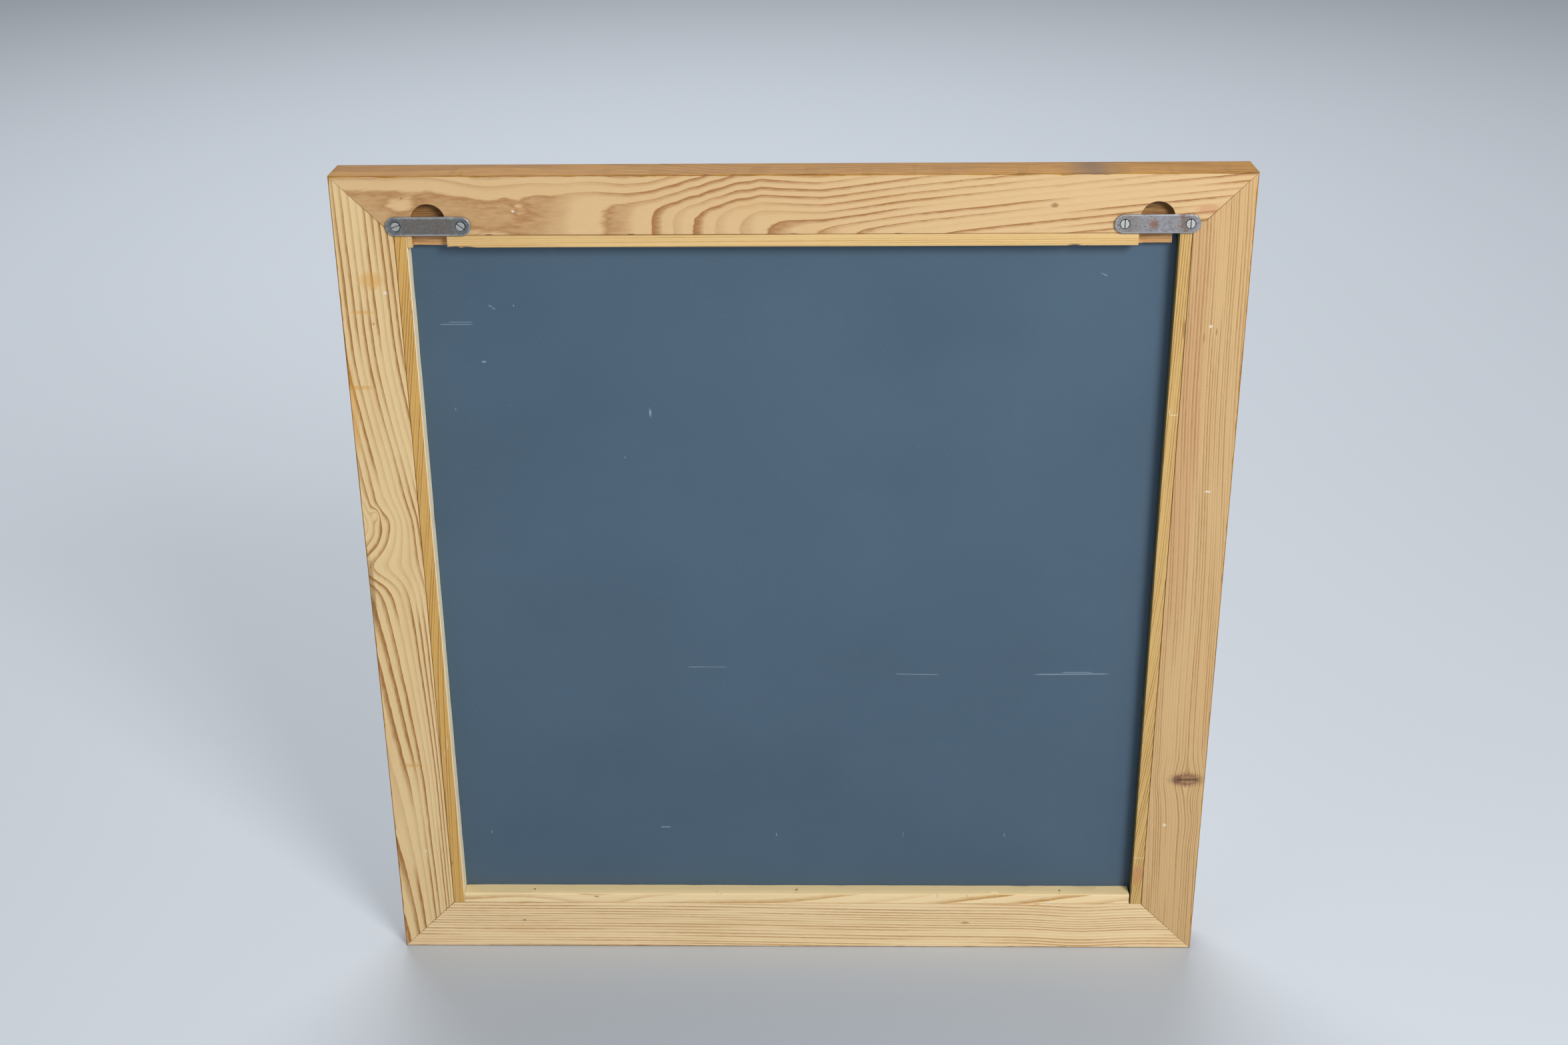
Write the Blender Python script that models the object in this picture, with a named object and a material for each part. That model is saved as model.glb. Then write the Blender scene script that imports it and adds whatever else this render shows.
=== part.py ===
"""Square wall mirror in a solid pine frame, seen as it hangs: front to -Y, wall to +Y, +Z up.

Four mitred rails are rebated from the back. The mirror pane lies in the rebate and four
small beads, pinned into the rails, hold it there. Two steel plates bridge the hook slots
in the top rail and the top bead. Left and right are as seen from the front.
"""

import math

import bmesh
import bpy
from mathutils import Matrix, Vector

# Driving dimensions, in metres.
FRAME_WIDTH = 0.600
FRAME_HEIGHT = 0.600
FRAME_DEPTH = 0.036

RAIL_WIDTH = 0.050
BACK_LAND = 0.0396  # flat back of a rail, from its outer edge to the rebate
FRONT_OUTER_ROUND = 0.007
FRONT_INNER_ROUND = 0.004
ARRIS = 0.0008  # eased sharp edges of the wood

PANE_THICKNESS = 0.004
PANE_PLAY = 0.0012  # between the pane's edge and the rebate wall
PANE_EDGE_BEVEL = 0.0006

BEAD_WIDTH = 0.0082
BEAD_DEPTH = 0.012
TOP_BEAD_SHORTFALL = 0.0036  # the top bead stops this far short of the left bead
BOTTOM_BEAD_SHORTFALL = 0.0010

FIT_GAP = 0.0003  # left between pieces that touch
MITRE_GAP_OUTER = 0.0002  # the mitres have opened a little at their inner ends
MITRE_GAP_INNER = 0.0005

SHOULDER_BELOW_TOP = 0.032  # the left rail's small square shoulder in its top mitre
SHOULDER_INNER_INSET = 0.0375
SHOULDER_ROOT = 0.0024  # how far the shoulder runs back into its rail

HANGER_OFFSET = 0.237  # each plate and slot from the middle
SLOT_RADIUS = 0.0115
SLOT_CENTRE_BELOW_TOP = 0.0302
SLOT_DEPTH = 0.007
SLOT_STEP_WIDTH = 0.0036  # narrow shallower strip beside the left slot, in the bead
SLOT_STEP_DEPTH = 0.0060

PLATE_LENGTH = 0.056
PLATE_WIDTH = 0.0126
PLATE_THICKNESS = 0.0016
PLATE_BELOW_TOP = 0.0333
PLATE_EDGE_ROUND = 0.0004
SCREW_SPACING = 0.0425

SCREW_HEAD_RADIUS = 0.0029
SCREW_RIM = 0.0002
SCREW_CONE = 0.0015
SCREW_SHANK_RADIUS = 0.0015
SCREW_ROOT_RADIUS = 0.0011
SCREW_SHANK_LENGTH = 0.006
SCREW_SHANK_TAPER = 0.0004  # length over which the shank narrows to its root
SCREW_LENGTH = 0.016
SCREW_POINT = 0.003
SCREW_SLOT_WIDTH = 0.0008
SCREW_SLOT_DEPTH = 0.0007
SCREW_SINK = 0.00005  # heads lie this far under the plate's face
SCREW_TURNS = {"left": (90, 90), "right": (-38, 19)}  # slots' turns from level, in degrees
COUNTERSINK_RADIUS = 0.0036
COUNTERSINK_OVERRUN = 0.0005

PIN_RADIUS = 0.0007
PIN_LENGTH = 0.020
PIN_POINT = 0.002
PIN_SINK = 0.0002
SIDE_PIN_DEPTH = 0.004  # pins from the back face
CROSS_PIN_DEPTH = 0.006
RIGHT_PIN_HEIGHTS = (0.068, 0.292, 0.516)
LEFT_PIN_HEIGHTS = (0.075, 0.285, 0.495)
CROSS_PIN_PLACES = (-0.199, 0.0, 0.199)

DOWEL_RADIUS = 0.004
DOWEL_LENGTH = 0.026
DOWEL_CHAMFER = 0.0008
DOWEL_DEPTH = 0.026  # dowel axes from the back face
DOWEL_PLACES = (0.020, 0.036)  # along the mitre, from the outer corner's edges

CUTTER_OVERRUN = 0.002  # how far a cutter stands past the faces that it cuts
ROUND_STEPS = 6
ARRIS_STEPS = 2
BEAD_EDGE_STEPS = 3
SLOT_TOP_STEPS = 20
PLATE_END_STEPS = 14
HOLE_SIDES = 16
PIN_HOLE_SIDES = 12
TURNED_SIDES = 24
SMOOTH_BELOW = math.radians(35)  # edges sharper than this stay sharp in the shading

# Derived places. Depths are measured from the frame's back face towards the front.
REBATE_DEPTH = BEAD_DEPTH + PANE_THICKNESS + 2 * FIT_GAP
FRONT_Y = -(FRAME_DEPTH + FIT_GAP + PLATE_THICKNESS) / 2
BACK_Y = FRONT_Y + FRAME_DEPTH
PLATE_BACK_Y = BACK_Y + FIT_GAP + PLATE_THICKNESS
PLATE_Z = FRAME_HEIGHT - PLATE_BELOW_TOP
SLOT_Z = FRAME_HEIGHT - SLOT_CENTRE_BELOW_TOP
BEAD_WALL = BACK_LAND + FIT_GAP  # from the frame's outer edge to a bead's outer side
BEAD_INNER = BEAD_WALL + BEAD_WIDTH
SIDES = {"left": -1, "right": 1}


def clear_scene():
    for obj in list(bpy.data.objects):
        bpy.data.objects.remove(obj, do_unlink=True)


def make_material(name, colour, roughness, metallic):
    material = bpy.data.materials.new(name)
    material.use_nodes = True
    shader = material.node_tree.nodes["Principled BSDF"]
    shader.inputs["Base Color"].default_value = (*colour, 1.0)
    shader.inputs["Roughness"].default_value = roughness
    shader.inputs["Metallic"].default_value = metallic
    material.diffuse_color = (*colour, 1.0)
    return material


def add_object(name, bm, material, parent=None):
    """A new object from a bmesh, its faces turned outwards and its round sides smooth."""
    bmesh.ops.recalc_face_normals(bm, faces=bm.faces)
    mesh = bpy.data.meshes.new(name)
    bm.to_mesh(mesh)
    bm.free()
    mesh.shade_smooth()
    mesh.set_sharp_from_angle(angle=SMOOTH_BELOW)
    obj = bpy.data.objects.new(name, mesh)
    bpy.context.scene.collection.objects.link(obj)
    if material:
        mesh.materials.append(material)
    obj.parent = parent
    return obj


def use_cutter(target, name, bm, operation="DIFFERENCE"):
    """Cuts the shapes in bm, given in world space, from target, or joins them to it."""
    cutter = add_object(name, bm, None)
    cutter.hide_render = True
    cutter.display_type = "WIRE"
    modifier = target.modifiers.new(name, "BOOLEAN")
    modifier.operation = operation
    modifier.solver = "EXACT"
    modifier.object = cutter


def arc(centre, radius, start_degrees, end_degrees, steps=ROUND_STEPS):
    """Points of an arc in a flat outline, both ends included."""
    points = []
    for step in range(steps + 1):
        angle = math.radians(start_degrees + (end_degrees - start_degrees) * step / steps)
        across = centre[0] + radius * math.cos(angle)
        along = centre[1] + radius * math.sin(angle)
        points.append((across, along))
    return points


def add_prism(bm, outline, low_y, high_y):
    """Extrudes an outline of (x, z) points between two y values."""
    low = [bm.verts.new((x, low_y, z)) for x, z in outline]
    face = bm.faces.new(low)
    extruded = bmesh.ops.extrude_face_region(bm, geom=[face])
    moved = [item for item in extruded["geom"] if isinstance(item, bmesh.types.BMVert)]
    bmesh.ops.translate(bm, vec=(0, high_y - low_y, 0), verts=moved)


def add_rod(bm, start, direction, length, radius, sides=HOLE_SIDES):
    """A straight rod from start along direction."""
    axis = Vector(direction).normalized()
    turn = axis.to_track_quat("Z", "Y").to_matrix().to_4x4()
    place = Matrix.Translation(Vector(start) + axis * length / 2) @ turn
    bmesh.ops.create_cone(
        bm,
        cap_ends=True,
        segments=sides,
        radius1=radius,
        radius2=radius,
        depth=length,
        matrix=place,
    )


def turned_piece(name, profile, material, parent=None):
    """A turned piece: its (radius, height) profile runs down from the axis to the axis."""
    bm = bmesh.new()
    line = [bm.verts.new((radius, 0, height)) for radius, height in profile]
    edges = [bm.edges.new(pair) for pair in zip(line, line[1:])]
    bmesh.ops.spin(
        bm,
        geom=line + edges,
        cent=(0, 0, 0),
        axis=(0, 0, 1),
        angle=math.tau,
        steps=TURNED_SIDES,
        use_merge=True,
    )
    bmesh.ops.remove_doubles(bm, verts=bm.verts, dist=1e-6)
    return add_object(name, bm, material, parent)


def aim(obj, location, direction):
    """Puts a turned piece at location with its top pointing along direction."""
    obj.location = location
    obj.rotation_mode = "QUATERNION"
    obj.rotation_quaternion = Vector(direction).to_track_quat("Z", "Y")


# Wood section outlines. Each is a list of (inset, depth): inset from the outer side
# towards the frame's middle, depth from the back face towards the front.


def rail_section():
    """Section of a rail: eased back edges, the rebate, and a front with rounded edges."""
    outline = arc((ARRIS, ARRIS), ARRIS, 180, 270, ARRIS_STEPS)
    outline += arc((BACK_LAND - ARRIS / 2, ARRIS / 2), ARRIS / 2, 270, 360, ARRIS_STEPS)
    outline += [(BACK_LAND, REBATE_DEPTH), (RAIL_WIDTH, REBATE_DEPTH)]
    inner = (RAIL_WIDTH - FRONT_INNER_ROUND, FRAME_DEPTH - FRONT_INNER_ROUND)
    outline += arc(inner, FRONT_INNER_ROUND, 0, 90)
    outer = (FRONT_OUTER_ROUND, FRAME_DEPTH - FRONT_OUTER_ROUND)
    outline += arc(outer, FRONT_OUTER_ROUND, 90, 180)
    return outline


def bead_section():
    """Section of a bead, with its inner back edge eased most."""
    small = ARRIS / 2
    outline = arc((small, small), small, 180, 270, ARRIS_STEPS)
    outline += arc((BEAD_WIDTH - ARRIS, ARRIS), ARRIS, 270, 360, BEAD_EDGE_STEPS)
    outline += [(BEAD_WIDTH, BEAD_DEPTH), (0, BEAD_DEPTH)]
    return outline


def mitred_reach(length, inset):
    """Half a rail's length at an inset from its outer side, short of the mitre's gap."""
    gap = MITRE_GAP_OUTER + (MITRE_GAP_INNER - MITRE_GAP_OUTER) * inset / RAIL_WIDTH
    return length / 2 - inset - gap / math.sqrt(2)


def bar_mesh(section, low_end, high_end):
    """A bar along X from a section. The ends are functions of the inset."""
    bm = bmesh.new()
    low = [bm.verts.new((low_end(inset), -depth, -inset)) for inset, depth in section]
    high = [bm.verts.new((high_end(inset), -depth, -inset)) for inset, depth in section]
    bm.faces.new(low)
    bm.faces.new(list(reversed(high)))
    for here, there in zip(range(len(section)), [*range(1, len(section)), 0]):
        bm.faces.new((low[here], high[here], high[there], low[there]))
    return bm


def place_bar(obj, side, inset=0.0):
    """Stands a bar made along X at a side of the frame, its outer side outwards."""
    middle = FRAME_HEIGHT / 2
    places = {
        "top": ((0, BACK_Y, FRAME_HEIGHT - inset), 0),
        "right": ((FRAME_WIDTH / 2 - inset, BACK_Y, middle), 90),
        "bottom": ((0, BACK_Y, inset), 180),
        "left": ((-FRAME_WIDTH / 2 + inset, BACK_Y, middle), 270),
    }
    location, degrees = places[side]
    obj.location = location
    obj.rotation_euler = (0, math.radians(degrees), 0)


def make_rail(side, material, parent):
    length = FRAME_WIDTH if side in ("top", "bottom") else FRAME_HEIGHT
    bm = bar_mesh(
        rail_section(),
        lambda inset: -mitred_reach(length, inset),
        lambda inset: mitred_reach(length, inset),
    )
    rail = add_object(f"{side}_rail", bm, material, parent)
    place_bar(rail, side)
    return rail


def make_bead(side, low, high, material, parent):
    """A bead along one side. low and high are its ends along its own X."""
    bm = bar_mesh(bead_section(), lambda inset: low, lambda inset: high)
    bead = add_object(f"{side}_bead", bm, material, parent)
    place_bar(bead, side, BEAD_WALL)
    return bead


def make_beads(material, parent):
    """Side beads fill their rails' rebates; top and bottom beads fit between them."""
    upright = FRAME_HEIGHT / 2 - BEAD_WALL
    between = FRAME_WIDTH / 2 - BEAD_INNER - FIT_GAP
    short_top = between + FIT_GAP - TOP_BEAD_SHORTFALL
    short_bottom = between + FIT_GAP - BOTTOM_BEAD_SHORTFALL
    return {
        "left": make_bead("left", -upright, upright, material, parent),
        "right": make_bead("right", -upright, upright, material, parent),
        "top": make_bead("top", -short_top, between, material, parent),
        "bottom": make_bead("bottom", -between, short_bottom, material, parent),
    }


def make_pane(material, parent):
    """Mirror glass with its edges ground off, lying on the rebate's lip."""
    half = FRAME_WIDTH / 2 - BACK_LAND - PANE_PLAY
    tall = FRAME_HEIGHT / 2 - BACK_LAND - PANE_PLAY
    corners = [(-half, -tall), (half, -tall), (half, tall), (-half, tall)]
    bm = bmesh.new()
    add_prism(bm, corners, -PANE_THICKNESS / 2, PANE_THICKNESS / 2)
    pane = add_object("mirror_pane", bm, material, parent)
    depth = BEAD_DEPTH + FIT_GAP + PANE_THICKNESS / 2
    pane.location = (0, BACK_Y - depth, FRAME_HEIGHT / 2)
    bevel = pane.modifiers.new("ground_edges", "BEVEL")
    bevel.width = PANE_EDGE_BEVEL
    bevel.segments = 1


def cut_rail_slots(rail):
    """Hook slots: straight sides and a half-round top, open into the rebate."""
    cutter = bmesh.new()
    low_z = FRAME_HEIGHT - BACK_LAND - CUTTER_OVERRUN
    for sign in SIDES.values():
        x = sign * HANGER_OFFSET
        top = arc((x, SLOT_Z), SLOT_RADIUS, 0, 180, SLOT_TOP_STEPS)
        outline = [(x - SLOT_RADIUS, low_z), (x + SLOT_RADIUS, low_z), *top]
        add_prism(cutter, outline, BACK_Y - SLOT_DEPTH, BACK_Y + CUTTER_OVERRUN)
    use_cutter(rail, "hook_slot_cutter", cutter)


def cut_bead_slots(bead):
    """The same slots through the bead. The left one has a shallower strip on its inner side."""
    low_z = FRAME_HEIGHT - BEAD_INNER - CUTTER_OVERRUN
    high_z = FRAME_HEIGHT - BEAD_WALL + CUTTER_OVERRUN
    strip_high = -HANGER_OFFSET + SLOT_RADIUS
    strip_low = strip_high - SLOT_STEP_WIDTH
    milled = [
        ("left_slot_cutter", -HANGER_OFFSET - SLOT_RADIUS, strip_low, SLOT_DEPTH),
        ("left_strip_cutter", strip_low - CUTTER_OVERRUN, strip_high, SLOT_STEP_DEPTH),
        ("right_slot_cutter", HANGER_OFFSET - SLOT_RADIUS, HANGER_OFFSET + SLOT_RADIUS, SLOT_DEPTH),
    ]
    for name, low_x, high_x, depth in milled:
        outline = [(low_x, low_z), (high_x, low_z), (high_x, high_z), (low_x, high_z)]
        cutter = bmesh.new()
        add_prism(cutter, outline, BACK_Y - depth, BACK_Y + CUTTER_OVERRUN)
        use_cutter(bead, name, cutter)


def shoulder_outline(grow):
    """The left rail's shoulder: a small corner past its top mitre, rooted in the rail."""
    outer_x = -FRAME_WIDTH / 2 + SHOULDER_BELOW_TOP - grow
    inner_x = -FRAME_WIDTH / 2 + SHOULDER_INNER_INSET + grow
    top_z = FRAME_HEIGHT - SHOULDER_BELOW_TOP + grow
    root_z = FRAME_HEIGHT - SHOULDER_INNER_INSET - SHOULDER_ROOT
    return [
        (outer_x, top_z),
        (outer_x - SHOULDER_ROOT / 2, top_z - SHOULDER_ROOT),
        (inner_x, root_z),
        (inner_x, top_z),
    ]


def fit_shoulder(left_rail, top_rail):
    """Joins the shoulder to the left rail and cuts the top rail back to clear it."""
    socket = bmesh.new()
    low_y = BACK_Y - REBATE_DEPTH
    add_prism(socket, shoulder_outline(FIT_GAP), low_y, BACK_Y + CUTTER_OVERRUN)
    use_cutter(top_rail, "shoulder_socket_cutter", socket)
    block = bmesh.new()
    add_prism(block, shoulder_outline(0), low_y + FIT_GAP, BACK_Y)
    use_cutter(left_rail, "shoulder_block", block, "UNION")


def screw_profile():
    """Slotted countersunk wood screw, its head's face at height 0 and its point below."""
    head_end = SCREW_RIM + SCREW_CONE
    return [
        (0, 0),
        (SCREW_HEAD_RADIUS, 0),
        (SCREW_HEAD_RADIUS, -SCREW_RIM),
        (SCREW_SHANK_RADIUS, -head_end),
        (SCREW_SHANK_RADIUS, -SCREW_SHANK_LENGTH),
        (SCREW_ROOT_RADIUS, -SCREW_SHANK_LENGTH - SCREW_SHANK_TAPER),
        (SCREW_ROOT_RADIUS, -SCREW_LENGTH + SCREW_POINT),
        (0, -SCREW_LENGTH),
    ]


def make_screw(name, x, slot_degrees, material, parent):
    screw = turned_piece(name, screw_profile(), material, parent)
    aim(screw, (x, PLATE_BACK_Y - SCREW_SINK, PLATE_Z), (0, 1, 0))
    size = Matrix.Diagonal((3 * SCREW_HEAD_RADIUS, 2 * SCREW_SLOT_DEPTH, SCREW_SLOT_WIDTH, 1))
    turn = Matrix.Rotation(math.radians(slot_degrees), 4, "Y")
    place = Matrix.Translation((x, PLATE_BACK_Y - SCREW_SINK, PLATE_Z))
    slot = bmesh.new()
    bmesh.ops.create_cube(slot, size=1.0, matrix=place @ turn @ size)
    use_cutter(screw, f"{name}_slot_cutter", slot)


def screw_places(sign):
    middle = sign * HANGER_OFFSET
    return (middle - SCREW_SPACING / 2, middle + SCREW_SPACING / 2)


def plate_outline():
    """Outline of a plate with round ends, about its middle."""
    end = (PLATE_LENGTH - PLATE_WIDTH) / 2
    radius = PLATE_WIDTH / 2
    right = arc((end, 0), radius, -90, 90, PLATE_END_STEPS)
    left = arc((-end, 0), radius, 90, 270, PLATE_END_STEPS)
    return right + left


def make_plate(side, material, parent):
    bm = bmesh.new()
    add_prism(bm, plate_outline(), 0, PLATE_THICKNESS)
    rim = [
        edge
        for edge in bm.edges
        if all(vert.co.y > PLATE_THICKNESS / 2 for vert in edge.verts)
    ]
    bmesh.ops.bevel(
        bm, geom=rim, offset=PLATE_EDGE_ROUND, segments=2, profile=0.5, affect="EDGES"
    )
    plate = add_object(f"{side}_hanger_plate", bm, material, parent)
    plate.location = (SIDES[side] * HANGER_OFFSET, BACK_Y + FIT_GAP, PLATE_Z)
    holes = bmesh.new()
    for x in screw_places(SIDES[side]):
        add_countersink(holes, x)
    use_cutter(plate, f"{side}_plate_hole_cutter", holes)


def add_countersink(bm, x):
    """A conical hole through a plate, wide at the back."""
    over = COUNTERSINK_OVERRUN
    narrow = SCREW_SHANK_RADIUS + 1.5 * FIT_GAP
    slope = (COUNTERSINK_RADIUS - narrow) / PLATE_THICKNESS
    wide = COUNTERSINK_RADIUS + slope * over
    tight = narrow - slope * over
    length = PLATE_THICKNESS + 2 * over
    place = Matrix.Translation((x, PLATE_BACK_Y - PLATE_THICKNESS / 2, PLATE_Z))
    turn = Matrix.Rotation(math.radians(-90), 4, "X")
    bmesh.ops.create_cone(
        bm,
        cap_ends=True,
        segments=TURNED_SIDES,
        radius1=tight,
        radius2=wide,
        depth=length,
        matrix=place @ turn,
    )


def drill_screw_holes(rail):
    holes = bmesh.new()
    length = CUTTER_OVERRUN + SCREW_LENGTH - PLATE_THICKNESS
    for sign in SIDES.values():
        for x in screw_places(sign):
            start = (x, BACK_Y + CUTTER_OVERRUN, PLATE_Z)
            add_rod(holes, start, (0, -1, 0), length, SCREW_SHANK_RADIUS + FIT_GAP)
    use_cutter(rail, "screw_hole_cutter", holes)


def pin_places(side):
    """(head centre, direction) of each pin driven through a bead into its rail."""
    if side in SIDES:
        sign = SIDES[side]
        heights = LEFT_PIN_HEIGHTS if side == "left" else RIGHT_PIN_HEIGHTS
        x = sign * (FRAME_WIDTH / 2 - BEAD_INNER + PIN_SINK)
        y = BACK_Y - SIDE_PIN_DEPTH
        return [(Vector((x, y, z)), Vector((sign, 0, 0))) for z in heights]
    sign = 1 if side == "top" else -1
    inner_z = FRAME_HEIGHT - BEAD_INNER if side == "top" else BEAD_INNER
    y = BACK_Y - CROSS_PIN_DEPTH
    z = inner_z + sign * PIN_SINK
    return [(Vector((x, y, z)), Vector((0, 0, sign))) for x in CROSS_PIN_PLACES]


def pin_profile():
    """Lost-head pin, its head at height 0."""
    return [
        (0, 0),
        (PIN_RADIUS, 0),
        (PIN_RADIUS, -PIN_LENGTH + PIN_POINT),
        (0, -PIN_LENGTH),
    ]


def fit_pins(side, bead, rail, material, parent):
    holes = {bead: bmesh.new(), rail: bmesh.new()}
    for number, (head, direction) in enumerate(pin_places(side), start=1):
        pin = turned_piece(f"{side}_bead_pin_{number}", pin_profile(), material, parent)
        aim(pin, head, -direction)
        for hole in holes.values():
            start = head - direction * CUTTER_OVERRUN
            length = CUTTER_OVERRUN + PIN_LENGTH + FIT_GAP
            add_rod(hole, start, direction, length, PIN_RADIUS + FIT_GAP, PIN_HOLE_SIDES)
    for target, hole in holes.items():
        use_cutter(target, f"{target.name}_pin_cutter", hole)


def dowel_profile():
    """Wooden dowel with chamfered ends, lying evenly about its origin."""
    half = DOWEL_LENGTH / 2
    rim = DOWEL_RADIUS - DOWEL_CHAMFER
    return [
        (0, half),
        (rim, half),
        (DOWEL_RADIUS, half - DOWEL_CHAMFER),
        (DOWEL_RADIUS, -half + DOWEL_CHAMFER),
        (rim, -half),
        (0, -half),
    ]


def fit_dowels(rails, material, parent):
    """Two dowels across each mitre, square to it."""
    holes = {side: bmesh.new() for side in rails}
    for upright, x_sign in SIDES.items():
        for cross, z_sign in (("bottom", -1), ("top", 1)):
            direction = Vector((x_sign, 0, -z_sign)).normalized()
            for number, place in enumerate(DOWEL_PLACES, start=1):
                x = x_sign * (FRAME_WIDTH / 2 - place)
                z = FRAME_HEIGHT / 2 + z_sign * (FRAME_HEIGHT / 2 - place)
                middle = Vector((x, BACK_Y - DOWEL_DEPTH, z))
                name = f"{cross}_{upright}_dowel_{number}"
                dowel = turned_piece(name, dowel_profile(), material, parent)
                aim(dowel, middle, direction)
                reach = DOWEL_LENGTH / 2 + FIT_GAP
                for side in (upright, cross):
                    start = middle - direction * reach
                    add_rod(holes[side], start, direction, 2 * reach, DOWEL_RADIUS + FIT_GAP)
    for side, hole in holes.items():
        use_cutter(rails[side], f"{side}_dowel_cutter", hole)


def main():
    clear_scene()
    pine = make_material("pine", (0.72, 0.55, 0.33), 0.55, 0.0)
    bead_pine = make_material("bead_pine", (0.64, 0.42, 0.16), 0.6, 0.0)
    silvered = make_material("silvered_glass", (0.072, 0.117, 0.159), 0.3, 0.0)
    zinc = make_material("plate_steel", (0.35, 0.34, 0.33), 0.45, 1.0)
    bright = make_material("screw_steel", (0.62, 0.61, 0.58), 0.35, 1.0)
    wire = make_material("pin_steel", (0.38, 0.36, 0.33), 0.45, 1.0)
    beech = make_material("dowel_beech", (0.50, 0.31, 0.17), 0.6, 0.0)

    root = bpy.data.objects.new("wall_mirror", None)
    bpy.context.scene.collection.objects.link(root)

    rails = {side: make_rail(side, pine, root) for side in ("top", "bottom", "left", "right")}
    beads = make_beads(bead_pine, root)
    make_pane(silvered, root)
    fit_shoulder(rails["left"], rails["top"])
    cut_rail_slots(rails["top"])
    cut_bead_slots(beads["top"])
    drill_screw_holes(rails["top"])
    for side in SIDES:
        make_plate(side, zinc, root)
        turns = SCREW_TURNS[side]
        for number, (x, turn) in enumerate(zip(screw_places(SIDES[side]), turns), start=1):
            make_screw(f"{side}_hanger_screw_{number}", x, turn, bright, root)
    for side, rail in rails.items():
        fit_pins(side, beads[side], rail, wire, root)
    fit_dowels(rails, beech, root)


main()
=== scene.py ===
"""Looks of a square pine-framed wall mirror, seen from its back: worn rails and beads, painted
mirror back, steel hanger plates with slotted screws, plus the camera, floor and lights.

Axes as in the CAD: -Y is the mirror side, +Y the wall side, +Z up. The grain of each piece is
worked out in millimetres along it, across it from its outer edge, and down from its back face.
"""

import math

import bmesh
import bpy
from mathutils import Euler, Matrix, Vector, noise


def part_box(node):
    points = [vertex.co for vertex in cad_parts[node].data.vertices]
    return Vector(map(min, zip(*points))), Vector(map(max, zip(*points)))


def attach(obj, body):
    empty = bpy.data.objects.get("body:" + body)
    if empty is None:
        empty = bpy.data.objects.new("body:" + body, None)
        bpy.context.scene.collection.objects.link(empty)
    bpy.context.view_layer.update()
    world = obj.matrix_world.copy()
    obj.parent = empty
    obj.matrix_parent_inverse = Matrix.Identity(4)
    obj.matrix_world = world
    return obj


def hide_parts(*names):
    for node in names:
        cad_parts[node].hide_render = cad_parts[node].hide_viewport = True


MM = 0.001

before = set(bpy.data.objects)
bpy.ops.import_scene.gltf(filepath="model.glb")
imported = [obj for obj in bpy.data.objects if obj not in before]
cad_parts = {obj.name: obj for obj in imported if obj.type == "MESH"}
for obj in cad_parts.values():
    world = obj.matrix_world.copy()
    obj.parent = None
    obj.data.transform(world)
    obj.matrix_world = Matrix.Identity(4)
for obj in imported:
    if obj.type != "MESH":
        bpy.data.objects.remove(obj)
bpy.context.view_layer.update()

# Places read from the frame.
RAILS_LOW, RAILS_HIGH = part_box("left_rail")
BACK_Y = RAILS_HIGH[1]  # the rails' flat back
HALF_WIDTH = -RAILS_LOW[0]
HEIGHT = RAILS_HIGH[2]
SIDES = ("top", "bottom", "left", "right")

# Millimetres in from the frame's outer edge.
RAIL_WIDTH = 39.6  # of flat back
JOINT = 39.8  # between a rail and its bead
BEAD_START = 39.9
BEAD_END = 48.1

# The left rail's spike knot, in millimetres.
KNOT_ALONG, KNOT_ACROSS = 148.9, 13.3


# ---------------------------------------------------------------- numbers that vary in a material


class Field:
    """A number that varies over a surface: a socket of a node tree, with arithmetic on it."""

    def __init__(self, tree, socket):
        self.tree = tree
        self.socket = socket

    def math(self, operation, *others):
        node = self.tree.nodes.new("ShaderNodeMath")
        node.operation = operation
        for index, value in enumerate((self, *others)):
            feed(self.tree, node.inputs[index], value)
        return Field(self.tree, node.outputs[0])

    def __add__(self, other):
        return self.math("ADD", other)

    def __sub__(self, other):
        return self.math("SUBTRACT", other)

    def __mul__(self, other):
        return self.math("MULTIPLY", other)

    def __truediv__(self, other):
        return self.math("DIVIDE", other)

    def __rsub__(self, other):
        return self * -1.0 + other

    def __neg__(self):
        return self * -1.0


def feed(tree, socket, value):
    """Links a field or socket to an input, or sets it to a plain number or colour."""
    if isinstance(value, Field):
        value = value.socket
    if isinstance(value, bpy.types.NodeSocket):
        tree.links.new(value, socket)
    else:
        socket.default_value = value


def root(value):
    return value.math("SQRT")


def exp(value):
    return value.math("EXPONENT")


def sine(value):
    return value.math("SINE")


def size_of(value):
    return value.math("ABSOLUTE")


def least(value, other):
    return value.math("MINIMUM", other)


def most(value, other):
    return value.math("MAXIMUM", other)


def hump(value):
    """1 at 0, falling smoothly to 0 by about 2 on both sides."""
    return exp(-(value * value))


def past(value, softness):
    """0 for negative values, the value itself for positive ones, smooth in between."""
    return (value + root(value * value + softness * softness)) * 0.5


def step(value):
    """0 below 0, 1 above 1, smooth in between."""
    node = value.tree.nodes.new("ShaderNodeMapRange")
    node.interpolation_type = "SMOOTHSTEP"
    feed(value.tree, node.inputs["Value"], value)
    return Field(value.tree, node.outputs["Result"])


def follow(value, places, softness=1.5):
    """A smooth line through (value, result) places, straight on past both ends."""
    (first, low), (second, high) = places[:2]
    slope = (high - low) / (second - first)
    result = (value - first) * slope + low
    for (start, low), (end, high) in zip(places[1:], places[2:]):
        new_slope = (high - low) / (end - start)
        result = result + past(value - start, softness) * (new_slope - slope)
        slope = new_slope
    return result


# ---------------------------------------------------------------- material helpers


def new_material(name):
    """A material, its node tree and its shader."""
    material = bpy.data.materials.new(name)
    material.use_nodes = True
    tree = material.node_tree
    return material, tree, tree.nodes["Principled BSDF"]


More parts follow.
